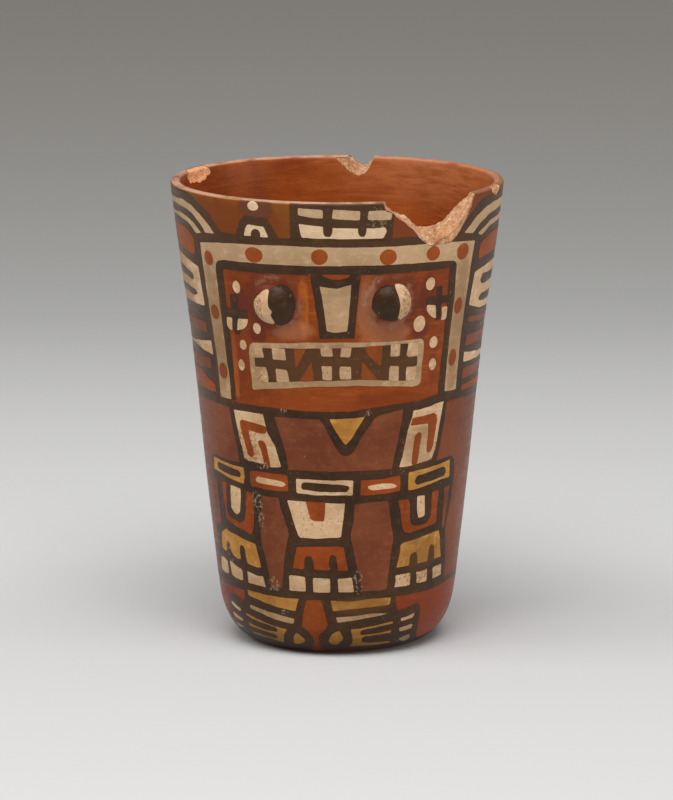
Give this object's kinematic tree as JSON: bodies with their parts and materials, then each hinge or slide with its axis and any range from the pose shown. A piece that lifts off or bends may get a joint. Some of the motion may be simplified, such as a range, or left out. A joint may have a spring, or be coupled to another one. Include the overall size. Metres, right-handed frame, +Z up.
{
  "type": "painted ceramic beaker",
  "caption": "Flaring straight-sided ceramic drinking beaker with painted slip figures, raised clay eyes and a chipped rim.",
  "frame": {"origin": "centre of the flat foot, on the table", "axes": "+Z up the beaker's axis to the rim, -Y towards the viewer, through the middle of the front painted figure"},
  "size_m": [0.1206, 0.1208, 0.169],
  "materials": {
    "fired_clay": "matt fired clay, pinkish buff",
    "inner_slip": "burnished orange brown slip",
    "red_orange_slip": "burnished red orange slip",
    "cream_slip": "burnished cream slip",
    "black_slip": "burnished black brown slip",
    "grey_slip": "burnished grey buff slip",
    "ochre_slip": "burnished ochre slip",
    "maroon_slip": "burnished maroon slip",
    "red_slip": "burnished dark red slip"
  },
  "bodies": {
    "root": {"back_left_eye": "fired_clay", "back_right_eye": "fired_clay", "belt_black": "black_slip", "belt_cream": "cream_slip", "belt_ochre": "ochre_slip", "belt_red": "red_slip", "cheek_marks_cream": "cream_slip", "clay_base": "fired_clay", "clay_wall": "fired_clay", "collar_black": "black_slip", "collar_ochre": "ochre_slip", "cuff_bars_cream": "cream_slip", "cuffs_red": "red_slip", "eye_whites_cream": "cream_slip", "face_frame_grey": "grey_slip", "fangs_red": "red_slip", "feet_black": "black_slip", "feet_grey": "grey_slip", "feet_ochre": "ochre_slip", "frame_dots_red": "red_slip", "frame_lines_black": "black_slip", "fringe_red": "red_slip", "front_left_eye": "fired_clay", "front_right_eye": "fired_clay", "headdress_black": "black_slip", "headdress_cream": "cream_slip", "inner_coat": "inner_slip", "legs_maroon": "maroon_slip", "limbs_black": "black_slip", "lips_grey": "grey_slip", "mouth_black": "black_slip", "nails_cream": "cream_slip", "nose_black": "black_slip", "nose_grey": "grey_slip", "outer_coat": "red_orange_slip", "palms_ochre": "ochre_slip", "panel_cream": "cream_slip", "pupils_black": "black_slip", "side_arches_black": "black_slip", "side_arches_grey": "grey_slip", "side_combs_cream": "cream_slip", "side_lines_black": "black_slip", "sleeve_frets_red": "red_slip", "sleeves_cream": "cream_slip", "teeth_cream": "cream_slip", "toes_cream": "cream_slip", "tunic_maroon": "maroon_slip"}
  },
  "joints": []
}
